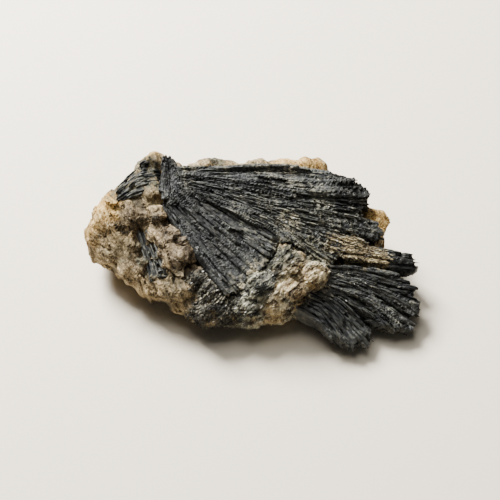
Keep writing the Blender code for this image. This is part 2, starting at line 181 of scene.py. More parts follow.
def grain(points, sheaves):
    """For each point: distance along the blades, place across them in metres, and their direction."""
    samples = []
    for number, gates in enumerate(sheaves.values()):
        for share in (np.arange(PLAN_LINES) + 0.5) / PLAN_LINES:
            line = path(gates, share, np.linspace(0.0, 1.0, PATH_STEPS))
            ahead = np.gradient(line, axis=0)
            length = np.linalg.norm(ahead, axis=1)
            rise = np.gradient(fan_face(line)) / length
            run = np.cumsum(length) + SHEAF_SHIFTS[0] * number
            across = np.full(PATH_STEPS, share * width_of(gates) + SHEAF_SHIFTS[1] * number)
            samples.append(np.column_stack([line, run, across, ahead / length[:, None], rise]))
    samples = np.concatenate(samples)
    tree = KDTree(len(samples))
    for i, (x, y) in enumerate(samples[:, :2]):
        tree.insert((x, y, 0.0), i)
    tree.balance()
    plan = points[:, :2] - PLAN_SHIFT
    near = samples[[tree.find((x, y, 0.0))[1] for x, y in plan]]
    off = plan - near[:, :2]
    forward = near[:, 4:6]
    run = near[:, 2] + (off * forward).sum(axis=1)
    across = near[:, 3] + off[:, 1] * forward[:, 0] - off[:, 0] * forward[:, 1]
    ahead = near[:, 4:7]
    return run, across, ahead / np.linalg.norm(ahead, axis=1)[:, None]

# %% [markdown]
# ## Noise for broken stone
#
# Rock isn't smooth noise: quartz breaks in small, flat, tilted faces with steps between them. Blender's
# own textures could displace the mesh, but they know nothing of the direction of the blades. Two short
# functions on whole arrays of points are as quick, and work in any stretched or turned space.

# %% Repeatable noise
MIXERS = np.array((127.1, 311.7, 74.7))  # these four only have to be large and unrelated
SEED_MIXER, SPREAD = 19.19, 43758.5453


def hashed(cells, seed):
    """A repeatable random number from 0 to 1 for each whole-numbered cell."""
    mixed = np.sin(cells @ MIXERS + SEED_MIXER * seed) * SPREAD
    return mixed - np.floor(mixed)


def smooth_noise(points, seed=0):
    """Soft noise from -1 to 1, with lumps about one unit wide."""
    cell = np.floor(points)
    part = points - cell
    part = part * part * (3.0 - 2.0 * part)
    total = np.zeros(len(points))
    for corner in np.ndindex(2, 2, 2):
        weight = np.prod(np.where(corner, part, 1.0 - part), axis=1)
        total += weight * hashed(cell + corner, seed)
    return 2.0 * total - 1.0


def nearest_cell(points, seed):
    """For each point the cell whose random heart lies nearest, and the way from that heart."""
    cell = np.floor(points)
    nearest = np.full(len(points), np.inf)
    homes, gaps = np.zeros_like(points), np.zeros_like(points)
    for offset in np.ndindex(3, 3, 3):
        home = cell + offset - 1
        gap = points - home - np.stack([hashed(home, seed + i) for i in (1, 2, 3)], axis=1)
        distance = np.linalg.norm(gap, axis=1)
        closer = distance < nearest
        nearest[closer] = distance[closer]
        homes[closer], gaps[closer] = home[closer], gap[closer]
    return homes, gaps


def facets(points, seed=0, tilt=0.8, step=0.6):
    """Flat faces about one unit wide, each with its own tilt and step, from about -1 to 1."""
    home, gap = nearest_cell(points, seed)
    lean = 2.0 * np.stack([hashed(home, seed + i) for i in (4, 5, 6)], axis=1) - 1.0
    return tilt * (lean * gap).sum(axis=1) + step * (2.0 * hashed(home, seed + 7) - 1.0)


def facet_tone(points, seed):
    """A tone from 0 to 1 for each of these faces."""
    return hashed(nearest_cell(points, seed)[0], seed + 8)


def stretched(spots, way, stretch):
    """The same places in a space that is squeezed along this way, so that noise there runs along it."""
    way = np.array(way) / np.linalg.norm(way)
    along = spots @ way
    return spots + np.outer(along * (1.0 / stretch - 1.0), way)

# %% [markdown]
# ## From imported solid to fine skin
#
# Every mineral starts as a copy of its solid, so that it stays in its place and at its size. A voxel
# remesh turns the solid's long triangles into an even skin that is fine enough to carry relief. A
# subdivision would do it too, but it would keep the slivers that the Booleans left.

# %% Skins of even quads
SKIN_VOXEL = {"quartz_matrix": 0.42 * MM, "main_fan": 0.34 * MM, "front_fan": 0.27 * MM}
SAME_PLACE = 0.001 * MM  # corners closer than this are one corner


def link(obj):
    bpy.context.scene.collection.objects.link(obj)
    return obj


def baked(obj):
    """Turns the object's modifiers into its plain mesh."""
    graph = bpy.context.evaluated_depsgraph_get()
    graph.update()
    obj.data = bpy.data.meshes.new_from_object(obj.evaluated_get(graph))
    obj.modifiers.clear()
    return obj


def skin(name, node):
    """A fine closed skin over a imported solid."""
    edit = bmesh.new()
    edit.from_mesh(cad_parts[node].data)
    bmesh.ops.remove_doubles(edit, verts=edit.verts, dist=SAME_PLACE)
    mesh = bpy.data.meshes.new(name)
    edit.to_mesh(mesh)
    edit.free()
    obj = link(bpy.data.objects.new(name, mesh))
    remesh = obj.modifiers.new("skin", "REMESH")
    remesh.mode = "VOXEL"
    remesh.voxel_size = SKIN_VOXEL[node]
    baked(obj)
    print(name, "skin:", len(obj.data.polygons), "quads")
    return obj


def read(mesh):
    """The places and normals of a mesh's vertices, as arrays."""
    places = np.empty(3 * len(mesh.vertices))
    normals = np.empty(3 * len(mesh.vertices))
    mesh.vertices.foreach_get("co", places)
    mesh.vertex_normals.foreach_get("vector", normals)
    return places.reshape(-1, 3), normals.reshape(-1, 3)


def move(mesh, places):
    mesh.vertices.foreach_set("co", places.ravel())
    mesh.update()


def attribute(mesh, name, values):
    """Stores a number or a vector for each vertex, for the materials and the scattering to read."""
    values = np.asarray(values, np.float32)
    kind, field = ("FLOAT", "value") if values.ndim == 1 else ("FLOAT_VECTOR", "vector")
    made = mesh.attributes.new(name, kind, "POINT")
    made.data.foreach_set(field, values.ravel())

# %% [markdown]
# ## Where the crust lies
#
# Grains of mica, feldspar and chlorite cake parts of the specimen: thickly on the ridge, thinly on the
# blades above it, yellowish along the blades at the right, and dark on the low lump at the front. The
# quartz has sooty, pinkish, warm and rust-stained parts, and the blades are dusty in some places and
# jet black in others. The warm patches on the ridge's front side are also made paler, as painted light
# over a face that lies in shade. Each is a round patch seen from above whose rim is frayed by noise. A
# painted mask could do this too, but a list of patches is easy to move, and it needs no picture.

# %% Crust patches: centre, radius in millimetres and strength
CRUST = {
    "ridge": [(-1.5, -20, 7.5, 1), (4, -16, 7.5, 1), (9, -18.5, 7.5, 1), (13, -15.5, 7, 1),
              (18.8, -12.4, 6.5, 1), (11, -10, 7, 0.9), (20, -8, 4, 0.7)],
    "above the ridge": [(6, -9.5, 4, 0.8), (10.5, -5, 5.5, 0.6), (12.5, 3, 5, 0.75), (19, -5, 6, 0.5),
                        (24, -8, 4, 0.6)],
    "yellow": [(27, -2.5, 4.5, 0.7), (31.5, -2.8, 5, 1), (36.5, -4.2, 5, 1), (41.5, -5.4, 4.2, 1)],
    "dark lump": [(-17, -15, 5, 0.9), (-12.5, -18.8, 8, 1), (-6, -21.5, 5, 1), (-15, -22.5, 6, 1),
                  (-9, -25, 6, 1)],
    "back": [(-20, 24.2, 5, 0.55), (-10, 24.2, 5, 0.6), (2, 24, 5.5, 0.5), (12, 23.4, 5, 0.45)],
}
QUARTZ_PATCHES = {
    "sooty": [(-35, 20.5, 8, 1), (-40.5, 18, 8, 1), (-45, 12, 4, 0.8), (-38, 13, 4.5, 0.6),
              (-33, 11.5, 4, 0.5), (-36, 24.5, 5, 1), (-35.5, -2, 4, 1), (-33.5, -7, 4, 1),
              (-30.5, -12, 4, 1), (-26, -15, 5, 0.6), (-11.5, 26, 4, 0.9), (9, -8.5, 6, 0.95),
              (14.5, -8.5, 4.5, 0.8), (-1, -16.5, 2.8, 0.9), (3.8, -19.5, 2.8, 0.8),
              (8.5, -13.5, 2.4, 0.7), (-42, -4, 5, 0.5), (-22, -15.5, 6, 0.45), (-25, 24, 4, 0.5)],
    "pinkish": [(-26, 1, 7, 1), (-23, -7, 6, 1), (-38, 6, 6, 0.7), (-19, -12, 6, 0.9), (-30, -9, 8, 0.8),
                (-36, -8, 6, 0.6)],
    "warm": [(-47, 9, 6.5, 1), (-52, 4, 5, 0.7), (-34, 27.5, 4, 0.8), (15, 27, 12, 0.9), (41, 9, 7, 1),
             # the next three patches, on the ridge's shaded front side, are warm tan and also painted light
             # over that shade
             (17, -13.5, 7, 1), (12, -17, 6, 1), (7.5, -21.5, 4, 0.8)],
    "stain": [(-47.5, 13.5, 4.5, 0.9), (-12, -21.5, 1.6, 1), (25, 25, 3, 0.4)],
}
DUSTY = [(28, 10, 9, 0.6), (10, 20, 9, 0.7), (26, 18, 8, 0.6), (2, 6, 12, 0.5), (20, 12, 12, 0.7),
         (-38, 18, 10, 1), (-33, -5, 6, 0.5), (27, 2, 14, 1), (35, 8, 9, 0.8), (14, 13, 12, 0.5),
         (12, -2, 9, 0.9), (-25, 14, 7, 0.8), (32, -14, 10, 0.6), (48, -22, 7, 0.7), (-4, 20, 9, 0.5)]
FAN_SOOT = [(14.5, -4, 7, 0.9), (21, -4, 5, 0.7), (7, -8, 4, 0.8)]
# where the blades are clean and blackest
JET = [(-30, 22, 6, 0.9), (-20, 8, 11, 0.8), (-14, -4, 9, 0.75), (34, 17, 9, 1), (28, -24, 9, 0.25),
       (50, -4, 6, 1), (50, -17, 8, 0.6), (-8, -6, 7, 0.7)]
FRAY = 2.6  # size in millimetres of the noise that frays a patch's rim
RIM = 2.2  # how steeply a patch ends there
RIDGE_WAY = (0.72, 0.68, 0.14)  # the way the ridge and its streaks run
RIDGE_ACROSS = (-0.66, 0.72, -0.2)
STREAK_LENGTH, STREAK_WIDTH = 5.5, 1.5


def crust_amount(points, patches):
    """How thickly these patches cover each point, from 0 to 1."""
    plan = (points[:, :2] - PLAN_SHIFT) / MM
    fray = 0.35 * smooth_noise(points / (FRAY * MM), seed=41)
    fray += 0.2 * smooth_noise(points / (0.4 * FRAY * MM), seed=43)
    amount = np.zeros(len(points))
    for x, y, radius, strength in patches:
        inside = 1.0 - np.hypot(plan[:, 0] - x, plan[:, 1] - y) / radius
        amount = np.maximum(amount, strength * np.clip(RIM * (inside + fray), 0.0, 1.0))
    return amount


def streaks(points):
    """The pale and dark streaks of the ridge, from 0 to 1."""
    spots = points / MM
    space = np.stack([spots @ np.array(RIDGE_WAY) / STREAK_LENGTH,
                      spots @ np.array(RIDGE_ACROSS) / STREAK_WIDTH, spots[:, 2] / STREAK_WIDTH], axis=1)
    broad, fine = smooth_noise(space, seed=67), smooth_noise(space * 2.7, seed=68)
    return np.clip(0.5 + 0.55 * broad + 0.3 * fine, 0.0, 1.0)

# %% [markdown]
# ## The quartz
#
# Milky quartz that was broken off its vein. Facets of three sizes and a row of ledges along its cracks
# give it tilted faces, steps and chips, and a little soft noise makes it sugary. On the ridge the
# relief is finer and rougher, because that rock is a cake of grains. The skin swells to a lip against
# the fan, sinks where blades lie in the quartz and where the ridge runs out, and the left foot stands
# back a little. Sculpting by hand would do it too, but patches keep each of these places adjustable.

# %% Broken quartz
QUARTZ_WAY = (0.4, -0.9, -0.16)  # the way the block's cracks and faces run
QUARTZ_ACROSS = (0.88, 0.42, 0.22)
QUARTZ_STRETCH, RIDGE_STRETCH, FIBRE_STRETCH = 2.2, 2.0, 6.0  # how far each pattern is drawn out
QUARTZ_RELIEF = ((5.6, 0.75, 11), (2.4, 0.26, 23), (1.0, 0.07, 31))  # size, rise in mm and seed
QUARTZ_TILT, QUARTZ_STEP = 1.05, 0.42
TONE_SHARES = (0.3, 0.4, 0.3)  # how much each size of facet says in the stone's tone
LEDGE_WIDTH, LEDGE_RISE = 3.4, 0.7  # the steps in which the quartz broke along its cracks
LEDGE_BEND, LEDGE_FADE = 6.0, 2.0  # size in mm of the noise that bends the ledges and breaks them off
SUGAR_SIZE, SUGAR_RISE = 0.7, 0.05
CAKE_SIZE, CAKE_RISE, CAKE_GRAIN = 1.25, 0.42, 0.6
RIDGE_SWELL = 0.5 * MM
QUARTZ_SWELL = 0.3 * MM  # closes most of the gap that the solids keep to the fans
FOOT = 4.5 * MM  # the height over which the relief fades out above the cut base
BACK_RIM = 23.0 * MM  # behind this the quartz is smoother
LIP_SWELL = 1.5 * MM
POCKET_DEPTH = 1.1 * MM
UNDERCUT_DEPTH, UNDERCUT_HEIGHT = 3.2 * MM, 4.5 * MM
UNDERCUT_WAY = (0.35, 0.94, 0.0)
# where the quartz laps against the fan
LIP = [(-30.5, 14, 4, 1), (-28.5, 7, 4, 1), (-25, 1, 4, 1), (-20.5, -5.5, 4, 1), (-16, -12, 4, 1),
       (-12.5, -17, 3.5, 0.8)]
# where blades lie in the quartz
POCKET = [(-36, -0.5, 3.2, 1), (-34, -5, 3.6, 1), (-31.5, -9.5, 3.6, 1), (-29.5, -13, 3, 0.8)]
UPPER_LEFT = [(-34.5, 20.5, 6.5, 1), (-40.5, 15.5, 6.5, 1), (-44, 11, 4, 0.8)]
# where the foot stands back
UNDERCUT = [(-46.5, -6.5, 6.5, 1), (-40.5, -9.5, 6.5, 1)]
# where the ridge runs out into the blades
SUNK = [(12.5, -8, 5, 1), (9, -7, 4, 1)]

quartz = skin("quartz_rock", "quartz_matrix")
places, normals = read(quartz.data)
spots = places / MM
blocky = stretched(spots, QUARTZ_WAY, QUARTZ_STRETCH)
streaked = stretched(spots, RIDGE_WAY, RIDGE_STRETCH)
lip, pocket = crust_amount(places, LIP), crust_amount(places, POCKET)
cake_here = crust_amount(places, CRUST["ridge"])
rough_here = crust_amount(places, CRUST["ridge"] + CRUST["dark lump"])

broken = sum(rise * facets(blocky / size, seed, QUARTZ_TILT, QUARTZ_STEP)
             for size, rise, seed in QUARTZ_RELIEF)
ledge = spots @ np.array(QUARTZ_ACROSS) / LEDGE_WIDTH + 0.5 * smooth_noise(blocky / LEDGE_BEND, seed=91)
kept = 0.6 + 0.4 * smooth_noise(blocky / LEDGE_FADE, seed=93)
broken += LEDGE_RISE * (ledge - np.floor(ledge) - 0.5) * kept
cake = CAKE_RISE * facets(streaked / CAKE_SIZE, seed=53)
cake += 0.5 * CAKE_RISE * smooth_noise(spots / CAKE_GRAIN, seed=59)
relief = broken * (1.0 - 0.5 * rough_here) + cake * rough_here
relief += SUGAR_RISE * smooth_noise(spots / SUGAR_SIZE, seed=61)
relief *= np.where(places[:, 1] > BACK_RIM, 0.5, 1.0) * (1.0 - 0.5 * lip)

swell = QUARTZ_SWELL + RIDGE_SWELL * rough_here + LIP_SWELL * lip
blades_here = np.maximum(pocket, 0.6 * crust_amount(places, UPPER_LEFT))
swell = swell * (1.0 - blades_here) - POCKET_DEPTH * (pocket + crust_amount(places, SUNK))
off_base = np.clip(places[:, 2] / FOOT, 0.0, 1.0)  # the cut base stays flat
swell = (swell + relief * (1.0 - 0.7 * blades_here) * MM) * off_base
near_floor = np.clip(2.0 - places[:, 2] / UNDERCUT_HEIGHT, 0.0, 1.0)
undercut = UNDERCUT_DEPTH * crust_amount(places, UNDERCUT) * near_floor
moved = places + normals * swell[:, None] + undercut[:, None] * UNDERCUT_WAY
moved[:, 2] = np.maximum(moved[:, 2], 0.0)
move(quartz.data, moved)
print("quartz relief in mm:", relief.min().round(2), "to", relief.max().round(2))

# %% What the quartz stores for its finish
tones = [facet_tone(blocky / size, seed) for size, rise, seed in QUARTZ_RELIEF]
stored = {
    "relief": relief,
    "crust": cake_here,
    "grainy": cake_here * (1.0 - 0.35 * crust_amount(places, QUARTZ_PATCHES["warm"])),
    "dark_crust": crust_amount(places, CRUST["dark lump"]),
    **{name: crust_amount(places, patches) for name, patches in QUARTZ_PATCHES.items()},
    "ahead": np.tile(RIDGE_WAY, (len(places), 1)),
    "blocky": blocky,
    "fibrous": stretched(spots, QUARTZ_WAY, FIBRE_STRETCH),
    "tone": sum(share * tone for share, tone in zip(TONE_SHARES, tones)),
    "fabric": streaks(places),
}
for name, numbers in stored.items():
    attribute(quartz.data, name, numbers)
print("stored on the quartz:", ", ".join(stored))

# %% [markdown]
# ## The fans
#
# A blade of black kyanite is itself a bundle of thin plates, so its faces are ribbed along their
# length and break off in steps. The relief is worked out in the fan's own space, where one axis runs
# along the blades and another across them, and the same function then ribs both fans.

# %% Ribbed fans
RIB_WIDTH, RIB_LENGTH, RIB_RISE = 1.1, 13.0, 0.3
PLATE_WIDTH, PLATE_LENGTH, PLATE_RISE = 2.3, 9.0, 0.5
HAIR_WIDTH, HAIR_LENGTH, HAIR_RISE = 0.5, 6.0, 0.14
CHIP_SIZE, CHIP_RISE = 1.0, 0.16
PLATE_TILT, PLATE_STEP = 0.35, 0.8
DEPTH_STRETCH = 4.0  # patterns change this much more slowly with depth than across
FAN_PATCHES = {"crust": CRUST["ridge"] + CRUST["above the ridge"] + CRUST["back"],
               "yellow_crust": CRUST["yellow"], "dusty": DUSTY, "jet": JET, "sooty": FAN_SOOT}


def store_crust(mesh, places):
    """Stores how thickly a fan's points are caked and dusted."""
    for name, patches in FAN_PATCHES.items():
        attribute(mesh, name, crust_amount(places, patches))
    attribute(mesh, "fabric", streaks(places))


def ribbed_fan(name, node, sheaves, seed):
    """A fan's solid with ribs, plates, hair-fine striae and chips that follow its blades."""
    obj = skin(name, node)
    places, normals = read(obj.data)
    run, across, _ = grain(places, sheaves)
    deep = places[:, 2] / MM / DEPTH_STRETCH
    space = np.stack([run / MM, across / MM, deep], axis=1)
    plate_space = space / (PLATE_LENGTH, PLATE_WIDTH, 1.0)
    ribs = smooth_noise(space / (RIB_LENGTH, RIB_WIDTH, 1.0), seed)
    plates = facets(plate_space, seed + 10, PLATE_TILT, PLATE_STEP)
    hairs = smooth_noise(space / (HAIR_LENGTH, HAIR_WIDTH, 1.0), seed + 20)
    chips = facets(places / MM / CHIP_SIZE, seed + 30)
    relief = RIB_RISE * ribs + PLATE_RISE * plates + HAIR_RISE * hairs + CHIP_RISE * chips
    move(obj.data, places + normals * (relief * MM)[:, None])
    attribute(obj.data, "relief", relief)
    attribute(obj.data, "stripe", space)
    attribute(obj.data, "tone", facet_tone(plate_space, seed + 10))
    store_crust(obj.data, places)
    print(name, "relief in mm:", relief.min().round(2), "to", relief.max().round(2))
    return obj


main_fan = ribbed_fan("main_fan_blades", "main_fan", MAIN_SHEAVES, seed=100)
front_fan = ribbed_fan("front_fan_blades", "front_fan", FRONT_SHEAVES, seed=200)

# %% [markdown]
# ## Laths
#
# What the eye sees of a fan is its laths: long flat blades that start narrow near the apex, widen
# outwards, lie at slightly different heights and break off in blunt steps. Each is a closed prism
# whose two edges follow the plan's lines and whose top follows the solid below, found with rays from
# above. Some bridge the step between two sheaves, and some lie in the quartz, in its pocket and on its
# shoulder. Curves with a bevel would be quicker to write, but can't carry ribs or broken ends.

# %% How a lath is made
STATION = 1.1 * MM  # distance between two cross sections
RIB_STEP = 0.24 * MM  # distance between two points across a lath
NARROWEST = 0.45 * MM
EDGE_DROP = 0.28 * MM  # how far a lath's edges are rounded down
FOLLOW = 0.35  # share of the solid's own steps that a fan's laths follow
LARGEST_STEP = 4.5 * MM  # where the solid lies farther than this below the fan's face, laths follow it
DRIFT = 0.035  # how far a lath strays across its sheaf, as a share of it
LOWEST_LATH = 0.5 * MM
LATH_RIBS = ((0.11, (7.0, 0.5, 1.0), 71), (0.16, (5.0, 1.2, 1.0), 73))  # rise, sizes in mm and seed
LATH_CHIPS = ((0.2, (1.9, 0.8, 1.0), 79, 0.8, 0.6), (0.22, (4.5, 1.7, 1.0), 83, 0.5, 0.9))  # and tilt, step
ROLL = 0.14  # the most that a lath leans to one side
END_SLANT, END_JAG, END_DROP = 0.5, 0.35, (0.1, 0.7)  # how its two ends are broken
RIB_SHIFT, STRIPE_SHIFT = 3.7, 5.3  # gives each lath its own part of a pattern


def solid_top(node):
    """A function that gives the height of a solid's top at plan places, or nan beside it."""
    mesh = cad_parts[node].data
    tree = BVHTree.FromPolygons([v.co for v in mesh.vertices], [p.vertices for p in mesh.polygons])

    def top(places):
        hits = [tree.ray_cast(Vector((x, y, 0.1)), Vector((0, 0, -1)))[0] for x, y in places]
        return np.array([hit.z if hit else np.nan for hit in hits])
    return top


def even_steps(gates, share):
    """Places along a path, one station apart."""
    fine = np.linspace(0.0, 1.0, 200)
    run = np.concatenate([[0.0], np.cumsum(np.hypot(*np.diff(path(gates, share, fine), axis=0).T))])
    return np.interp(np.arange(0.0, run[-1], STATION), run, fine)


def smoothed(values, count):
    """A running mean over so many neighbours on both sides."""
    padded = np.pad(values, count, mode="edge")
    return np.convolve(padded, np.full(2 * count + 1, 1.0 / (2 * count + 1)), mode="valid")


def lath(left, right, heights, depth, rng, number):
    """Rings of points along one lath between two edge lines, and the values that they carry."""
    width = np.linalg.norm(left - right, axis=1)
    count = int(np.clip(width.max() / RIB_STEP, 5, 20))
    share = np.linspace(0.0, 1.0, count)
    stations = len(left)
    run = np.arange(stations) * STATION / MM
    across = share[None, :] * width[:, None] / MM
    apart = np.full(stations * count, RIB_SHIFT * number)
    flat = np.stack([np.repeat(run, count), across.ravel(), apart], axis=1)
    ribs = sum(rise * smooth_noise(flat / size, seed) for rise, size, seed in LATH_RIBS)
    ribs += sum(rise * facets(flat / size, seed, tilt, step) for rise, size, seed, tilt, step in LATH_CHIPS)
    ribs = ribs.reshape(stations, count)
    edge = np.minimum(1.0, 5.0 * np.minimum(share, 1.0 - share))
    roll = rng.uniform(-ROLL, ROLL) * (across - 0.5 * width[:, None] / MM)
    top = heights[:, None] + (ribs + roll) * MM - EDGE_DROP * (1.0 - edge)[None, :] ** 2
    plan = left[:, None, :] * (1.0 - share[None, :, None]) + right[:, None, :] * share[None, :, None]
    ahead = plan[-1].mean(axis=0) - plan[0].mean(axis=0)
    ahead /= np.linalg.norm(ahead)
    for end, way in ((0, -1.0), (-1, 1.0)):
        slant = rng.uniform(-END_SLANT, END_SLANT) * width[end] * (share - 0.5) * 2.0
        jag = np.array([rng.uniform(-END_JAG, END_JAG) for _ in share]) * MM
        plan[end] += way * ahead * (slant + jag)[:, None]
        top[end] -= np.array([rng.uniform(*END_DROP) for _ in share]) * MM
    under = np.array([rng.uniform(0.75, 1.0) for _ in range(stations)]) * depth
    points = np.concatenate([plan, top[:, :, None]], axis=2)
    low = points[:, (-1, 0)].copy()
    low[:, :, 2] = np.maximum(low[:, :, 2] - under[:, None], LOWEST_LATH)
    rings = np.concatenate([points, low], axis=1)
    # the two lower corners get a low relief, so that the finish paints shade down the lath's sides
    relief = np.concatenate([ribs * 1.7 + 0.5 * (1.0 - edge)[None, :], np.full((stations, 2), -0.6)], axis=1)
    return rings, relief, run


# %% A bundle of laths
ALL_LONG = 30.0  # a bundle whose longest laths are shorter than this has gaps between them
GAP_CHANCE = 0.35
WIDTHS = (0.45, 1.7)  # the narrowest and widest lath, as shares of the mean


def even_height(node, middle, heights):
    """Draws most of a fan's lath heights towards its even upper face, and leaves large steps alone."""
    if node != "quartz_matrix":
        even = fan_face(middle - PLAN_SHIFT)
        close = np.abs(heights - even) < LARGEST_STEP
        heights[close] = FOLLOW * heights[close] + (1.0 - FOLLOW) * even[close]
    return heights


def prism_faces(base, stations, around):
    """The faces of a closed prism whose rings of points start at this number."""
    for i in range(stations - 1):
        for j in range(around):
            k = (j + 1) % around
            one, two = base + i * around, base + (i + 1) * around
            yield one + j, two + j, two + k, one + k
    yield tuple(range(base, base + around))
    yield tuple(range(base + stations * around - 1, base + (stations - 1) * around - 1, -1))


def lath_bundle(name, node, sheaves, plans, seed):
    """Laths over one fan. A plan: sheaf, mean width, share kept, lengths, offsets and depths in mm."""
    rng = random.Random(seed)
    top = solid_top(node)
    verts, faces, relief, stripe, tone = [], [], [], [], []
    number = 0
    for sheaf, mean, cover, lengths, offsets, depth in plans:
        gates = sheaves[sheaf]
        span = width_of(gates)
        share = 0.0
        while share < 1.0:
            width = mean * rng.uniform(*WIDTHS) * MM / span
            near, far = share, min(1.0, share + width)
            share = far + rng.uniform(0.0, 0.08) * width
            if cover < 1.0 and rng.random() > cover:
                continue
            steps = even_steps(gates, 0.5 * (near + far))
            drift = rng.uniform(-DRIFT, DRIFT) * np.linspace(-1.0, 1.0, len(gates))
            left = path(gates, np.clip(near + drift, 0.0, 1.0), steps) + PLAN_SHIFT
            right = path(gates, np.clip(far + drift, 0.0, 1.0), steps) + PLAN_SHIFT
            middle, half = (left + right) / 2.0, (left - right) / 2.0
            size = np.linalg.norm(half, axis=1)[:, None]
            half = half * np.maximum(1.0, 0.5 * NARROWEST / np.maximum(size, 1e-9))
            left, right = middle + half, middle - half
            heights = even_height(node, middle, top(middle))
            place = 0
            while place < len(steps) - 3:
                stretch = max(3, int(rng.uniform(*lengths) * MM / STATION))
                part = slice(place, min(len(steps), place + stretch))
                place += stretch
                if lengths[1] < ALL_LONG and rng.random() < GAP_CHANCE:
                    place += int(rng.uniform(*lengths) * MM / STATION)
                here = heights[part]
                good = np.flatnonzero(~np.isnan(here))
                offset = rng.uniform(*offsets) * MM
                if len(good) < 4:
                    continue
                part = slice(part.start + good[0], part.start + good[-1] + 1)
                here = heights[part]
                here = np.interp(np.arange(len(here)), np.flatnonzero(~np.isnan(here)), here[~np.isnan(here)])
                here = smoothed(here, 4) + offset
                rings, proud, run = lath(left[part], right[part], here, rng.uniform(*depth) * MM, rng, number)
                stations, around = rings.shape[:2]
                faces.extend(prism_faces(len(verts), stations, around))
                verts.extend(rings.reshape(-1, 3))
                relief.extend(proud.ravel())
                tone.extend([rng.random()] * (stations * around))
                beside = np.tile(np.arange(around) * RIB_STEP / MM, stations)
                apart = np.full(len(beside), STRIPE_SHIFT * number)
                stripe.extend(np.stack([np.repeat(run, around), beside, apart], axis=1))
                number += 1
    mesh = bpy.data.meshes.new(name)
    mesh.from_pydata(verts, [], faces)
    obj = link(bpy.data.objects.new(name, mesh))
    edit = bmesh.new()
    edit.from_mesh(mesh)
    bmesh.ops.recalc_face_normals(edit, faces=edit.faces)
    edit.to_mesh(mesh)
    edit.free()
    attribute(mesh, "relief", relief)
    attribute(mesh, "stripe", stripe)
    attribute(mesh, "tone", tone)
    places, _ = read(mesh)
    store_crust(mesh, places)
    print(name, ":", number, "laths,", len(mesh.polygons), "faces")
    return obj

# %% Laths of both fans and in the quartz
MAIN_LATHS = (
    ("back blades", 1.3, 1.0, (8, 30), (-0.7, 0.3), (2.5, 4.0)),
    ("back blades", 0.8, 0.8, (3, 14), (-0.2, 0.7), (1.5, 2.5)),
    ("middle blades", 2.6, 1.0, (8, 34), (-0.8, 0.3), (2.5, 4.5)),
    ("middle blades", 1.3, 0.8, (3, 16), (-0.2, 0.65), (1.5, 2.5)),
    ("middle blades", 0.7, 0.5, (2, 9), (0.0, 0.75), (1.0, 2.0)),
    ("front blades", 3.2, 1.0, (8, 30), (-1.0, 0.3), (3.0, 4.5)),
    ("front blades", 1.5, 0.7, (3, 14), (-0.2, 0.5), (1.5, 2.5)),
    ("apex spray", 1.3, 1.0, (8, 30), (-0.2, 0.5), (2.0, 3.0)),
    ("prongs", 1.3, 1.0, (8, 30), (-0.3, 0.4), (3.0, 4.5)),
)
FRONT_LATHS = (
    ("right lobe", 2.2, 1.0, (8, 26), (-0.9, 0.3), (2.5, 4.5)),
    ("right lobe", 1.1, 0.8, (3, 14), (-0.2, 0.6), (1.5, 2.5)),
    ("left lobe", 2.0, 1.0, (8, 26), (-0.9, 0.3), (2.5, 4.5)),
    ("left lobe", 1.1, 0.8, (3, 14), (-0.2, 0.6), (1.5, 2.5)),
)
BRIDGE_LATHS = (
    ("bridge", 2.4, 1.0, (9, 30), (-0.7, 0.1), (4.0, 5.0)),
    ("bridge", 1.2, 0.7, (3, 14), (-0.3, 0.4), (3.0, 4.0)),
)
QUARTZ_LATHS = (
    ("upper left blades", 1.2, 0.95, (4, 16), (0.0, 0.6), (2.0, 3.0)),
    ("upper left blades", 0.7, 0.85, (3, 12), (0.2, 0.9), (1.5, 2.5)),
    ("upper left blades", 0.5, 0.6, (2, 8), (0.4, 1.1), (1.0, 2.0)),
    ("pocket spray", 0.7, 1.0, (6, 20), (-0.7, 0.2), (1.5, 2.5)),
    ("pocket spray", 0.45, 0.8, (3, 12), (-0.3, 0.6), (1.5, 2.5)),
    ("flank streaks", 0.8, 0.5, (3, 14), (-0.4, 0.3), (1.5, 2.5)),
)
main_laths = lath_bundle("main_fan_laths", "main_fan", MAIN_SHEAVES, MAIN_LATHS, seed=11)
front_laths = lath_bundle("front_fan_laths", "front_fan", FRONT_SHEAVES, FRONT_LATHS, seed=12)
bridge_laths = lath_bundle("bridging_laths", "main_fan", BRIDGE_SHEAVES, BRIDGE_LATHS, seed=14)
quartz_laths = lath_bundle("blades_in_quartz", "quartz_matrix", QUARTZ_SHEAVES, QUARTZ_LATHS, seed=13)

# %% [markdown]
# ## Splinters
#
# Short broken laths lie along the blades and stand out a little from them, thousands of them. That is
# work for Geometry Nodes: points are scattered on the laths, and each one gets a splinter, turned so
# that it lies on the surface and points along the grain. The same tree with other inputs scatters the
# grains of the crust, which are turned at random. A particle system could do this too, but it isn't
# exported.

# %% One function that adds a node
def add(tree, kind, inputs=None, output=0, **settings):
    """Adds a node with its settings and links. Returns one of its outputs, or the node for None."""
    made = tree.nodes.new(kind)
    for name, value in settings.items():
        setattr(made, name, value)
    for name, value in (inputs or {}).items():
        if isinstance(value, bpy.types.NodeSocket):
            tree.links.new(value, made.inputs[name])
        else:
            made.inputs[name].default_value = value
    return made if output is None else made.outputs[output]

# %% Broken laths and grains to scatter
LATH_STATIONS = (-0.5, -0.17, 0.17, 0.5)
LATH_PROFILE = ((-0.5, -0.5), (0.5, -0.5), (0.5, 0.15), (0.22, 0.5), (-0.25, 0.46), (-0.5, 0.1))


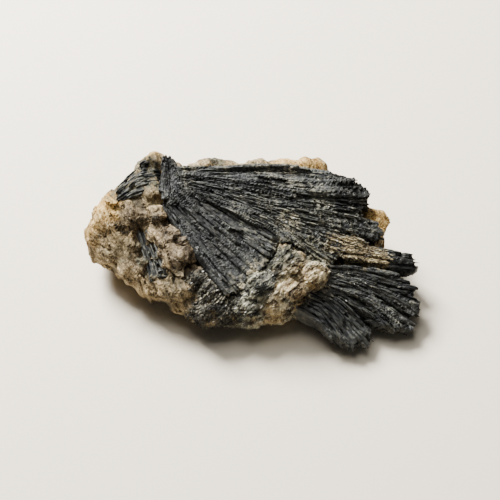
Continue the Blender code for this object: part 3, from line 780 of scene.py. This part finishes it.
def lath_pattern(number):
    """A ribbed lath of unit length, width and depth, with splintered ends."""
    rng = random.Random(number)
    edit = bmesh.new()
    rings = []
    slants = [rng.uniform(-0.12, 0.12) for _ in range(4)]
    for i, x in enumerate(LATH_STATIONS):
        at_end = i in (0, len(LATH_STATIONS) - 1)
        narrow = rng.uniform(0.45, 0.8) if at_end else rng.uniform(0.85, 1.1)
        slant = slants[0 if i == 0 else 1] if at_end else 0.0
        low = rng.uniform(-0.25, 0.0) if at_end else rng.uniform(-0.08, 0.08)
        ring = []
        for y, z in LATH_PROFILE:
            jag = rng.uniform(-0.05, 0.05) if at_end else 0.0
            ring.append(edit.verts.new((x + slant * 2.0 * y + jag, y * narrow, z + (low if z > 0 else 0.0))))
        rings.append(ring)
    for a, b in zip(rings, rings[1:]):
        for j in range(len(a)):
            k = (j + 1) % len(a)
            edit.faces.new((a[j], a[k], b[k], b[j]))
    edit.faces.new(rings[0][::-1])
    edit.faces.new(rings[-1])
    bmesh.ops.recalc_face_normals(edit, faces=edit.faces)
    return pattern_object(f"lath_{number}", edit)


def grain_pattern(number):
    """A blocky grain about one unit wide."""
    rng = random.Random(50 + number)
    edit = bmesh.new()
    bmesh.ops.create_icosphere(edit, subdivisions=1, radius=0.5)
    for vert in edit.verts:
        vert.co *= rng.uniform(0.75, 1.2)
    return pattern_object(f"grain_{number}", edit)


def pattern_object(name, edit):
    mesh = bpy.data.meshes.new(name)
    edit.to_mesh(mesh)
    edit.free()
    return bpy.data.objects.new(name, mesh)


def pattern_collection(name, patterns):
    made = bpy.data.collections.new(name)
    for obj in patterns:
        made.objects.link(obj)
    return made


LATHS = pattern_collection("lath patterns", [lath_pattern(i) for i in range(6)])
GRAINS = pattern_collection("grain patterns", [grain_pattern(i) for i in range(5)])

# %% The tree that scatters along the grain
def scatter_tree():
    """Puts a pattern on each scattered point, turned along the grain and a little at random."""
    tree = bpy.data.node_groups.new("scatter along the grain", "GeometryNodeTree")
    for name, kind in (("Skin", "Geometry"), ("Per Square Millimetre", "Float"), ("Where", "Float"),
                       ("Patterns", "Collection"), ("Smallest", "Vector"), ("Largest", "Vector"),
                       ("Jitter", "Vector"), ("Sink", "Float"), ("Seed", "Int"), ("Finish", "Material")):
        tree.interface.new_socket(name, in_out="INPUT", socket_type="NodeSocket" + kind)
    tree.interface.new_socket("Pieces", in_out="OUTPUT", socket_type="NodeSocketGeometry")
    given = add(tree, "NodeGroupInput", output=None).outputs
    density = add(tree, "ShaderNodeMath", {0: given["Per Square Millimetre"], 1: given["Where"]},
                  operation="MULTIPLY")
    density = add(tree, "ShaderNodeMath", {0: density, 1: 1.0 / MM**2}, operation="MULTIPLY")
    points = add(tree, "GeometryNodeDistributePointsOnFaces",
                 {"Mesh": given["Skin"], "Density": density, "Seed": given["Seed"]}, output=None).outputs
    ahead = add(tree, "GeometryNodeInputNamedAttribute", {"Name": "ahead"}, data_type="FLOAT_VECTOR")
    forward = add(tree, "FunctionNodeAlignRotationToVector", {"Vector": ahead}, axis="X")
    along_grain = add(tree, "FunctionNodeAlignRotationToVector",
                      {"Rotation": forward, "Vector": points["Normal"]}, axis="Z", pivot_axis="X")
    back = add(tree, "ShaderNodeVectorMath", {0: given["Jitter"], 3: -1.0}, operation="SCALE")
    turn = add(tree, "FunctionNodeRandomValue", {0: back, 1: given["Jitter"], "Seed": given["Seed"]},
               data_type="FLOAT_VECTOR")
    turn = add(tree, "FunctionNodeEulerToRotation", {0: turn})
    turned = add(tree, "FunctionNodeRotateRotation", {0: along_grain, 1: turn}, rotation_space="LOCAL")
    next_seed = add(tree, "ShaderNodeMath", {0: given["Seed"], 1: 7.0}, operation="ADD")
    size = add(tree, "FunctionNodeRandomValue",
               {0: given["Smallest"], 1: given["Largest"], "Seed": next_seed}, data_type="FLOAT_VECTOR")
    down = add(tree, "ShaderNodeVectorMath", {0: points["Normal"], 3: given["Sink"]}, operation="SCALE")
    sunk = add(tree, "GeometryNodeSetPosition", {"Geometry": points["Points"], "Offset": down})
    patterns = add(tree, "GeometryNodeCollectionInfo",
                   {"Collection": given["Patterns"], "Separate Children": True, "Reset Children": True})
    placed = add(tree, "GeometryNodeInstanceOnPoints",
                 {"Points": sunk, "Instance": patterns, "Pick Instance": True, "Rotation": turned,
                  "Scale": size})
    tone = add(tree, "FunctionNodeRandomValue", {"Seed": given["Seed"]}, output=1, data_type="FLOAT")
    toned = add(tree, "GeometryNodeStoreNamedAttribute", {"Geometry": placed, "Name": "tone", "Value": tone},
                data_type="FLOAT", domain="INSTANCE")
    plain = add(tree, "GeometryNodeRealizeInstances", {"Geometry": toned})
    finished = add(tree, "GeometryNodeSetMaterial", {"Geometry": plain, "Material": given["Finish"]})
    add(tree, "NodeGroupOutput", {"Pieces": finished}, output=None)
    return tree


SCATTER = scatter_tree()


def scatter(name, support, per_square_mm, where, seed, kind):
    """Scatters one kind of piece where the support stores it, and returns them as one plain mesh."""
    obj = link(bpy.data.objects.new(name, support.data.copy()))
    modifier = obj.modifiers.new("scatter", "NODES")
    modifier.node_group = SCATTER
    inputs = {**kind, "Per Square Millimetre": per_square_mm, "Seed": seed}
    for item in SCATTER.interface.items_tree:
        if item.in_out == "INPUT" and item.name in inputs:
            modifier[item.identifier] = inputs[item.name]
        if item.in_out == "INPUT" and item.name == "Where":
            modifier[item.identifier + "_use_attribute"] = True
            modifier[item.identifier + "_attribute_name"] = where
    baked(obj)
    places, _ = read(obj.data)
    places[:, 2] = np.maximum(places[:, 2], 0.0)
    move(obj.data, places)
    print(name, ":", len(obj.data.polygons), "faces")
    return obj

# %% [markdown]
# ## The finishes
#
# Each material starts from the real mineral. Kyanite has an index of refraction of 1.72, quartz 1.54
# and mica 1.58. Black kyanite is dark because it is full of graphite, its cleavage faces have a satin
# gloss, and what lightens it is a dusting of grey-green chlorite on everything that stands proud.
#
# A rock's colour is one thing over another: stone, then rust, painted highlights on what stands proud
# and painted shade in the hollows, then a crust. So each finish is a list of layers, and a layer is a
# colour with the things that it depends on. Noise that is wired up by hand could look the same, but a list
# can be read from the bottom to the top.

# %% Colours and layers
def linear(code):
    """The linear colour of an sRGB hex code."""
    parts = [int(code[i:i + 2], 16) / 255.0 for i in (1, 3, 5)]
    return (*[c / 12.92 if c <= 0.04045 else ((c + 0.055) / 1.055) ** 2.4 for c in parts], 1.0)


def coloured(tree, colour):
    """The colour of an sRGB code, or of a value and its (place, sRGB code) stops."""
    if isinstance(colour, str):
        return linear(colour)
    if not isinstance(colour, tuple):
        return colour
    value, stops = colour
    made = add(tree, "ShaderNodeValToRGB", {"Fac": value}, output=None)
    elements = made.color_ramp.elements
    while len(elements) < len(stops):
        elements.new(0.5)
    for element, (place, code) in zip(elements, stops):
        element.position = place
        element.color = linear(code)
    return made.outputs["Color"]


def share(tree, *factors):
    """The product of numbers, of values, and of (value, from, to) for a soft rise from 0 to 1."""
    product = None
    for factor in factors:
        if isinstance(factor, tuple):
            value, low, high = factor
            factor = add(tree, "ShaderNodeMapRange", {"Value": value, "From Min": low, "From Max": high},
                         "Result", interpolation_type="SMOOTHSTEP")
        product = factor if product is None else add(
            tree, "ShaderNodeMath", {0: product, 1: factor}, operation="MULTIPLY", use_clamp=True)
    return product


def weighed(tree, *parts):
    """The sum of values times their weights, kept from 0 to 1."""
    total = 0.0
    for value, weight in parts:
        total = add(tree, "ShaderNodeMath", {0: value, 1: weight, 2: total}, operation="MULTIPLY_ADD",
                    use_clamp=True)
    return total


def layered(tree, base, *layers):
    """Lays colours over a base, each as (colour, *factors of the share that it covers)."""
    colour = coloured(tree, base)
    for over, *factors in layers:
        colour = add(tree, "ShaderNodeMix", {0: share(tree, *factors), 6: colour, 7: coloured(tree, over)},
                     output=2, data_type="RGBA")
    return colour


def new_material(name, **constants):
    """A material with these constants on its shader's own sockets."""
    made = bpy.data.materials.new(name)
    made.use_nodes = True
    shader = made.node_tree.nodes["Principled BSDF"]
    for socket, value in constants.items():
        shader.inputs[socket.replace("_", " ")].default_value = value
    return made, made.node_tree, shader


def connect(tree, shader, **outputs):
    """Links outputs to the shader's sockets of these names."""
    for socket, output in outputs.items():
        tree.links.new(output, shader.inputs[socket.replace("_", " ")])

# %% Black kyanite
STREAKS_PER_MM = (0.12, 1.3, 1.0)  # pale streaks, each about 8 mm long and 0.8 mm wide
HAIRS_PER_MM = (0.5, 4.2, 3.0)  # striae, each about 2 mm long and 0.24 mm wide
DUST_PATCH, DUST_SPECK = 6.667 * MM, 1.333 * MM
BLADES = ((0.3, "#101113"), (0.46, "#222425"), (0.6, "#393b3b"), (0.76, "#545651"))
DUST = ((0.4, "#44453f"), (0.55, "#6a695e"), (0.7, "#989482"))
THIN_CAKE = ((0.4, "#3f3c33"), (0.52, "#7d7663"), (0.64, "#b8ac8f"))
SOOTY_CAKE = ((0.4, "#1a1b17"), (0.6, "#5f5d4e"))
OLIVE_CAKE = ((0.4, "#40382c"), (0.54, "#7d6f52"), (0.68, "#b5a684"))


def kyanite(name):
    """Satin black blades with paler streaks, dusted with chlorite where they stand proud."""
    material, tree, shader = new_material(name, IOR=1.72, Metallic=0.0, Specular_IOR_Level=0.13)
    place = add(tree, "ShaderNodeTexCoord", output="Object")
    stripe = add(tree, "ShaderNodeAttribute", output="Vector", attribute_name="stripe")
    along, fine = [add(tree, "ShaderNodeMapping", {"Vector": stripe, "Scale": scale})
                   for scale in (STREAKS_PER_MM, HAIRS_PER_MM)]
    own_tone, relief, jet, caked, yellow, dusty, sooty = [
        add(tree, "ShaderNodeAttribute", output="Fac", attribute_name=stored)
        for stored in ("tone", "relief", "jet", "crust", "yellow_crust", "dusty", "sooty")]
    streak, hair, patch, speck = [
        add(tree, "ShaderNodeTexNoise",
            {"Vector": vector, "Scale": 1.0 / size, "Detail": detail, "Roughness": rough}, output="Fac")
        for vector, size, detail, rough in ((along, 1.0, 4.0, 0.6), (fine, 1.0, 3.0, 0.6),
                                            (place, DUST_PATCH, 5.0, 0.7), (place, DUST_SPECK, 3.0, 0.75))]
    tone = weighed(tree, (streak, 0.4), (hair, 0.4), (own_tone, 0.22))
    body = layered(tree, (tone, BLADES),
                   ("#050506", (relief, 0.0, -0.8), 0.3),  # painted shade in the hollows
                   ("#040405", jet, 0.75))
    proud = share(tree, (relief, -0.1, 0.6))
    dusted = share(tree, weighed(tree, (dusty, 0.8), (0.4, 1.0)), (patch, 0.36, 0.6),
                   weighed(tree, (proud, 1.0), (0.3, 1.0)), weighed(tree, (1.0, 1.0), (jet, -0.7)))
    crust = add(tree, "ShaderNodeMath", {0: caked, 1: yellow}, operation="MAXIMUM", use_clamp=True)
    dusted = share(tree, weighed(tree, (dusted, 1.0), (crust, 1.0)), (speck, 0.36, 0.56))
    cake = layered(tree, (speck, THIN_CAKE), ((speck, SOOTY_CAKE), sooty))
    dust = layered(tree, (speck, DUST), (cake, caked), ((speck, OLIVE_CAKE), yellow))
    height = weighed(tree, (hair, 0.5), (speck, 0.5))
    connect(tree, shader, Base_Color=layered(tree, body, (dust, dusted)),
            Roughness=add(tree, "ShaderNodeMapRange", {"Value": dusted, "To Min": 0.46, "To Max": 0.9}),
            Normal=add(tree, "ShaderNodeBump", {"Height": height, "Strength": 0.9, "Distance": 0.3 * MM}))
    return material

# %% Milky quartz
STAIN_SIZE, SPECK_SIZE = 4.762 * MM, 1.053 * MM
GRIT_SIZE = 0.435 * MM  # finer grit would be lost between the render's pixels
BLOCK_SIZE, FIBRE_SIZE, CRACK_GAP = 1.111, 0.667, 3.333  # in mm, in the skin's own stretched spaces
STONE = ((0.38, "#1a160f"), (0.45, "#4f4430"), (0.52, "#837153"), (0.61, "#bca984"))
PINKISH_STONE = ((0.39, "#15130e"), (0.45, "#40372b"), (0.52, "#6b5e4b"), (0.62, "#96866c"))
WARM_STONE = ((0.38, "#453118"), (0.45, "#7d6034"), (0.52, "#ab8c54"), (0.61, "#d2b881"))
SOOTED = ((0.36, "#10110e"), (0.52, "#33342b"), (0.66, "#6b6955"))
RIDGE_CAKE = ((0.32, "#0e0e0d"), (0.42, "#41413d"), (0.53, "#7b796a"), (0.7, "#bcb8a0"))
# warm crust, made paler where the ridge lies in shade: partly painted light
WARM_LIT_CAKE = ((0.34, "#3a3022"), (0.44, "#867254"), (0.54, "#b6a17b"), (0.7, "#dfcfaa"))
DARK_LUMP = ((0.38, "#0d0d0c"), (0.53, "#302f2a"), (0.66, "#686353"), (0.78, "#b9b199"))


def milky_quartz(name):
    """Tan, iron-stained milky quartz with pinkish faces and dark grey parts, painted highlights where its
    relief stands proud and painted shade in its hollows.
    """
    material, tree, shader = new_material(name, IOR=1.544, Metallic=0.0, Specular_IOR_Level=0.12,
                                          Subsurface_Weight=0.06, Subsurface_Scale=1.2 * MM,
                                          Subsurface_Radius=(1.0, 0.7, 0.45))
    place = add(tree, "ShaderNodeTexCoord", output="Object")
    blocky, fibrous = [add(tree, "ShaderNodeAttribute", output="Vector", attribute_name=stored)
                       for stored in ("blocky", "fibrous")]
    own_tone, relief, pinkish, warm, stain, sooty, fabric, caked, dark_lump = [
        add(tree, "ShaderNodeAttribute", output="Fac", attribute_name=stored)
        for stored in ("tone", "relief", "pinkish", "warm", "stain", "sooty", "fabric", "crust",
                       "dark_crust")]
    medium, grained, speck, fibres, grit = [
        add(tree, "ShaderNodeTexNoise",
            {"Vector": vector, "Scale": 1.0 / size, "Detail": detail, "Roughness": rough}, output="Fac")
        for vector, size, detail, rough in (
            (place, STAIN_SIZE, 5.0, 0.75), (blocky, BLOCK_SIZE, 5.0, 0.75), (place, SPECK_SIZE, 3.0, 0.75),
            (fibrous, FIBRE_SIZE, 4.0, 0.65), (place, GRIT_SIZE, 2.0, 0.6))]
    grit = add(tree, "ShaderNodeMapRange", {"Value": grit, "From Min": 0.3, "To Min": -0.064, "To Max": 0.16})
    mixed = weighed(tree, (medium, 0.25), (grained, 0.35), (own_tone, 0.15), (fibres, 0.25), (grit, 1.0))
    cracks = add(tree, "ShaderNodeTexVoronoi", {"Vector": blocky, "Scale": 1.0 / CRACK_GAP},
                 output="Distance", feature="DISTANCE_TO_EDGE")
    streak = weighed(tree, (speck, 0.4), (fabric, 0.6))
    cake = layered(tree, (streak, RIDGE_CAKE),
                   ((streak, WARM_LIT_CAKE), warm, 0.85), ((speck, SOOTED), sooty, 0.75))
    colour = layered(
        tree, (mixed, STONE),
        ((mixed, PINKISH_STONE), pinkish),
        ((mixed, WARM_STONE), warm),
        ("#c09a58", stain, (medium, 0.38, 0.56)),  # rust
        ("#b39c73", (relief, 0.35, 1.1), 0.3),  # painted highlight where the relief stands proud
        ("#3d3428", (relief, -0.1, -0.9), 0.55),  # painted shade in the hollows
        ("#33291e", (cracks, 0.07, 0.0), (medium, 0.45, 0.6), 0.4),
        ("#35291d", (fibres, 0.44, 0.36), (medium, 0.4, 0.56), 0.6),  # veins
        ("#24211c", (speck, 0.55, 0.66), (grained, 0.48, 0.6), 0.85),  # dark specks
        ((speck, SOOTED), sooty, (grained, 0.38, 0.55)),
        (cake, caked),
        ((speck, DARK_LUMP), dark_lump))
    height = weighed(tree, (fibres, 0.6), (speck, 0.4))
    connect(tree, shader, Base_Color=colour,
            Roughness=add(tree, "ShaderNodeMapRange", {"Value": medium, "To Min": 0.45, "To Max": 0.95}),
            Normal=add(tree, "ShaderNodeBump", {"Height": height, "Strength": 0.9, "Distance": 0.36 * MM}))
    return material

# %% Crust grains
SHADE_SIZE = 0.667 * MM
SHADES = ((0.35, "#8c8c8c"), (0.6, "#ffffff"))
# warm grains, made paler where the ridge lies in shade: partly painted light
WARM_LIT_GRAINS = ((0.2, "#5b4d39"), (0.42, "#ad9874"), (0.7, "#ddcea8"))
SOOTY_GRAINS = ((0.3, "#0e0f0c"), (0.6, "#34342b"), (0.85, "#77725c"))


def grains(name, stops):
    """Grains that are each one mineral: its own tone and the streak it lies in pick its colour."""
    material, tree, shader = new_material(name, IOR=1.58, Metallic=0.0, Roughness=0.6,
                                          Specular_IOR_Level=0.15)
    place = add(tree, "ShaderNodeTexCoord", output="Object")
    own_tone, fabric, warm, sooty = [
        add(tree, "ShaderNodeAttribute", output="Fac", attribute_name=stored)
        for stored in ("tone", "fabric", "warm", "sooty")]
    tone = weighed(tree, (own_tone, 0.35), (fabric, 0.65))
    colour = layered(
        tree, (tone, stops),
        # warm grains over the warm patches, partly painted light on the shaded ridge
        ((tone, WARM_LIT_GRAINS), warm, 0.85),
        ((tone, SOOTY_GRAINS), sooty, 0.8),
        ("#f6f3ea", (own_tone, 0.975, 0.98)))  # a few painted glints
    speck = add(tree, "ShaderNodeTexNoise",
                {"Vector": place, "Scale": 1.0 / SHADE_SIZE, "Detail": 2.0, "Roughness": 0.6}, output="Fac")
    shaded = add(tree, "ShaderNodeMix", {0: 1.0, 6: colour, 7: coloured(tree, (speck, SHADES))},
                 output=2, data_type="RGBA", blend_type="MULTIPLY")
    connect(tree, shader, Base_Color=shaded)
    return material


KYANITE = kyanite("striated_black_kyanite")
QUARTZ = milky_quartz("broken_milky_quartz")
RIDGE_GRAINS, YELLOW_GRAINS, CRUMBS, DARK_GRAINS = [grains(name, stops) for name, stops in (
    ("mica_and_feldspar_grains",
     ((0.2, "#1d1e1c"), (0.34, "#464743"), (0.48, "#7d7c6d"), (0.64, "#a9a68e"), (0.82, "#cfcbb1"))),
    ("chlorite_stained_grains", ((0.0, "#2c2820"), (0.3, "#74664f"), (0.6, "#ab9d79"), (1.0, "#dfd2ae"))),
    ("chlorite_crumbs",
     ((0.0, "#131413"), (0.35, "#383936"), (0.6, "#6e6d63"), (0.85, "#a29e8d"), (1.0, "#c7c2ae"))),
    # the white top stop of the biotite grains paints glints of their mica
    ("biotite_grains",
     ((0.0, "#131312"), (0.45, "#3e3c36"), (0.7, "#736f61"), (0.88, "#b5ad95"), (0.9, "#f4f1e8"))))]
for piece, finish in ((quartz, QUARTZ), (main_fan, KYANITE), (front_fan, KYANITE), (main_laths, KYANITE),
                      (front_laths, KYANITE), (bridge_laths, KYANITE), (quartz_laths, KYANITE)):
    piece.data.materials.clear()
    piece.data.materials.append(finish)
print(len(bpy.data.materials), "materials")

# %% [markdown]
# ## Splinters on the fans and grains on the ridge
#
# The scattering tree runs once for each kind of piece. Where a mineral lies comes from what the skins
# and laths store. On the laths it is times how far a face looks up, so that splinters, grains and
# crumbs lie on the tops of the blades and none is spent on a side that nobody sees.

# %% Scatter
for bundle, sheaves in ((main_laths, MAIN_SHEAVES), (front_laths, FRONT_SHEAVES)):
    places, normals = read(bundle.data)
    attribute(bundle.data, "bare", np.clip(2.0 * normals[:, 2] - 0.6, 0.0, 1.0))
    attribute(bundle.data, "ahead", grain(places, sheaves)[2])
    upper = np.clip(2.0 * normals[:, 2] + 0.5, 0.0, 1.0)
    for name, patches in (("dusty_top", "dusty"), ("yellow_top", "yellow_crust"), ("caked_top", "crust")):
        attribute(bundle.data, name, upper * crust_amount(places, FAN_PATCHES[patches]))

SPLINTER = {"Patterns": LATHS, "Jitter": (0.45, 0.04, 0.05), "Sink": -0.05 * MM, "Finish": KYANITE,
            "Smallest": (1.5 * MM, 0.18 * MM, 0.3 * MM), "Largest": (3.8 * MM, 0.55 * MM, 0.7 * MM)}
GRAIN = {"Patterns": GRAINS, "Jitter": (3.1, 0.35, 0.4), "Sink": 0.0,
         "Smallest": (0.5 * MM, 0.2 * MM, 0.2 * MM), "Largest": (1.9 * MM, 0.6 * MM, 0.55 * MM)}
CRUMB = {**GRAIN, "Finish": CRUMBS,
         "Smallest": (0.25 * MM, 0.2 * MM, 0.2 * MM), "Largest": (1.1 * MM, 0.5 * MM, 0.45 * MM)}
SCATTERED = (  # name, support, pieces to the square millimetre, where, seed and kind
    ("main_fan_splinters", main_laths, 0.16, "bare", 3, SPLINTER),
    ("front_fan_splinters", front_laths, 0.2, "bare", 4, SPLINTER),
    ("ridge_grains", quartz, 3.0, "grainy", 5, {**GRAIN, "Finish": RIDGE_GRAINS}),
    ("fan_crust_grains", main_laths, 1.3, "caked_top", 6, {**GRAIN, "Finish": RIDGE_GRAINS}),
    ("yellow_crust_grains", main_laths, 4.5, "yellow_top", 7, {**GRAIN, "Finish": YELLOW_GRAINS}),
    ("main_fan_crumbs", main_laths, 1.0, "dusty_top", 9, CRUMB),
    ("front_fan_crumbs", front_laths, 0.8, "dusty_top", 10, CRUMB),
    ("dark_lump_grains", quartz, 2.0, "dark_crust", 8, {**GRAIN, "Finish": DARK_GRAINS}),
)
scattered = {row[0]: scatter(*row) for row in SCATTERED}

# %% [markdown]
# ## What rides on what
#
# The specimen has no joints, so all of it rides on the one body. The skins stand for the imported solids.

# %% Hand the pieces to the frame
PIECES = (
    (quartz, "quartz", ("quartz_matrix",)),
    (main_fan, "kyanite", ("main_fan",)),
    (front_fan, "kyanite", ("front_fan",)),
    (main_laths, "kyanite", ()),
    (front_laths, "kyanite", ()),
    (bridge_laths, "kyanite", ()),
    (quartz_laths, "kyanite", ()),
    (scattered["main_fan_splinters"], "kyanite", ()),
    (scattered["front_fan_splinters"], "kyanite", ()),
    (scattered["ridge_grains"], "quartz", ()),
    (scattered["fan_crust_grains"], "quartz", ()),
    (scattered["yellow_crust_grains"], "quartz", ()),
    (scattered["dark_lump_grains"], "quartz", ()),
    (scattered["main_fan_crumbs"], "kyanite", ()),
    (scattered["front_fan_crumbs"], "kyanite", ()),
)
for piece, slot, nodes in PIECES:
    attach(piece, "root")
    if nodes:
        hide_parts(*nodes)

# %% [markdown]
# ## Studio
#
# The photograph looks down on the specimen at about 55 degrees from far enough away to be nearly
# without perspective. The light is soft and comes mostly from above and behind, so the dark hollow
# under the front edge is the only real shadow.

# %% Floor, lights and camera
VIEW_HEIGHT = math.radians(55)
VIEW_DISTANCE = 0.4
VIEW_WIDTH = 0.164  # width of the floor that the frame takes in, at the specimen
SENSOR = 36.0
FLOOR_SIZE, FLOOR_DROP = 4.0, 0.2 * MM  # the drop keeps the floor from flickering through the cut base
WORLD_LIGHT = 0.06
TARGET = Vector((-0.8 * MM + PLAN_SHIFT[0], PLAN_SHIFT[1], 12.0 * MM))


def studio_floor():
    bpy.ops.mesh.primitive_plane_add(size=FLOOR_SIZE, location=(0, 0, -FLOOR_DROP))
    floor = bpy.context.object
    floor.name = "paper_floor"
    paper, _, _ = new_material("warm_white_paper", Roughness=0.85, Base_Color=linear("#e3dac8"))
    floor.data.materials.append(paper)


def soft_light(name, size, power, place, colour):
    lamp = bpy.data.lights.new(name, "AREA")
    lamp.size = size
    lamp.energy = power
    lamp.color = colour
    obj = link(bpy.data.objects.new(name, lamp))
    obj.location = place
    obj.rotation_euler = (TARGET - Vector(place)).to_track_quat("-Z", "Y").to_euler()


def studio_camera():
    lens = bpy.data.cameras.new("camera")
    lens.sensor_width = SENSOR
    lens.lens = SENSOR * VIEW_DISTANCE / VIEW_WIDTH
    obj = link(bpy.data.objects.new("camera", lens))
    back = Vector((0.0, -math.cos(VIEW_HEIGHT), math.sin(VIEW_HEIGHT)))
    obj.location = TARGET + VIEW_DISTANCE * back
    obj.rotation_euler = (-back).to_track_quat("-Z", "Y").to_euler()
    bpy.context.scene.camera = obj


studio_floor()
soft_light("window behind", size=0.3, power=35.0, place=(-0.32, 0.46, 0.5), colour=(1.0, 0.985, 0.955))
soft_light("ceiling bounce", size=0.5, power=4.0, place=(-0.1, 0.25, 0.85), colour=(1.0, 0.97, 0.92))
studio_camera()
world = bpy.data.worlds.new("studio")
world.use_nodes = True
sky = world.node_tree.nodes["Background"].inputs
sky["Color"].default_value, sky["Strength"].default_value = linear("#f4f2ee"), WORLD_LIGHT
bpy.context.scene.world = world
